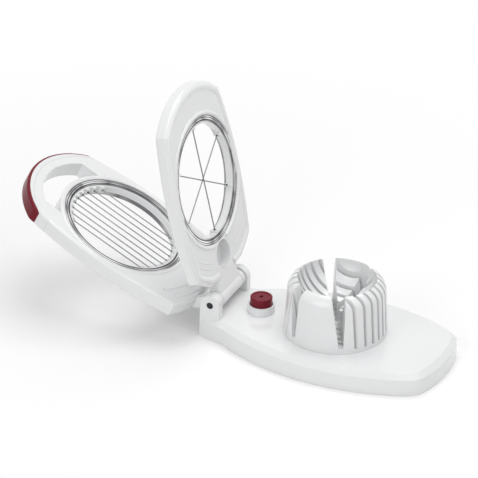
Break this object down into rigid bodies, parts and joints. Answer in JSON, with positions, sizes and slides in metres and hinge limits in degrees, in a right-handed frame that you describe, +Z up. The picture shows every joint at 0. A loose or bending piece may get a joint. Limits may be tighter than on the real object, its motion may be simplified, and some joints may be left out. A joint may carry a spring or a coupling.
{
  "type": "egg slicer",
  "caption": "Hinged kitchen egg slicer: leaf-shaped base with a slotted egg cup and a sprung shell piercer, a wedging arm with crossed wires and a slicing arm with parallel wires and a loop handle.",
  "frame": {"origin": "On the rest plane, straight below the middle of the hinge axis.", "axes": "+X runs from the hinge to the far end of the base, +Y runs along the hinge axis to the back, +Z is up."},
  "size_m": [0.2634, 0.087, 0.1448],
  "materials": {
    "white_plastic": "smooth gloss moulding",
    "burgundy_plastic": "smooth gloss moulding",
    "polished_steel": "polished stainless steel"
  },
  "bodies": {
    "base": {"base_shell": "white_plastic", "egg_cradle": "white_plastic", "hinge_pin": "polished_steel", "needle_holder": "white_plastic", "piercer_needle": "polished_steel", "piercer_spring": "polished_steel"},
    "piercer": {"piercer_cap": "burgundy_plastic"},
    "slicer": {"slicer_frame": "white_plastic", "slicer_ring": "polished_steel", "slicer_tooth_ring": "white_plastic", "handle_grip": "burgundy_plastic", "slicer_wire_1": "polished_steel", "slicer_wire_2": "polished_steel", "slicer_wire_3": "polished_steel", "slicer_wire_4": "polished_steel", "slicer_wire_5": "polished_steel", "slicer_wire_6": "polished_steel", "slicer_wire_7": "polished_steel", "slicer_wire_8": "polished_steel", "slicer_wire_9": "polished_steel"},
    "wedger": {"wedger_frame": "white_plastic", "wedger_ring": "polished_steel", "wedger_tooth_ring": "white_plastic", "wedger_wire_1": "polished_steel", "wedger_wire_2": "polished_steel", "wedger_wire_3": "polished_steel"}
  },
  "joints": [
    {"name": "slicer_hinge", "type": "hinge", "parent": "base", "child": "slicer", "pos_m": [0, 0, 0.021], "axis": [0, 1, 0], "range_deg": [0, 154.8]},
    {"name": "wedger_hinge", "type": "hinge", "parent": "base", "child": "wedger", "pos_m": [0, 0, 0.021], "axis": [0, 1, 0], "range_deg": [0, 104.3]},
    {"name": "piercer_press", "type": "slide", "parent": "base", "child": "piercer", "axis": [0, 0, -1], "range_m": [0, 0.004], "stiffness_N_per_m": 400, "springref_m": -0.004, "deforming": ["piercer_spring"]}
  ],
  "couplings": [
    {"joint": "wedger_hinge", "follows": "slicer_hinge", "ratio": 0.67377}
  ]
}
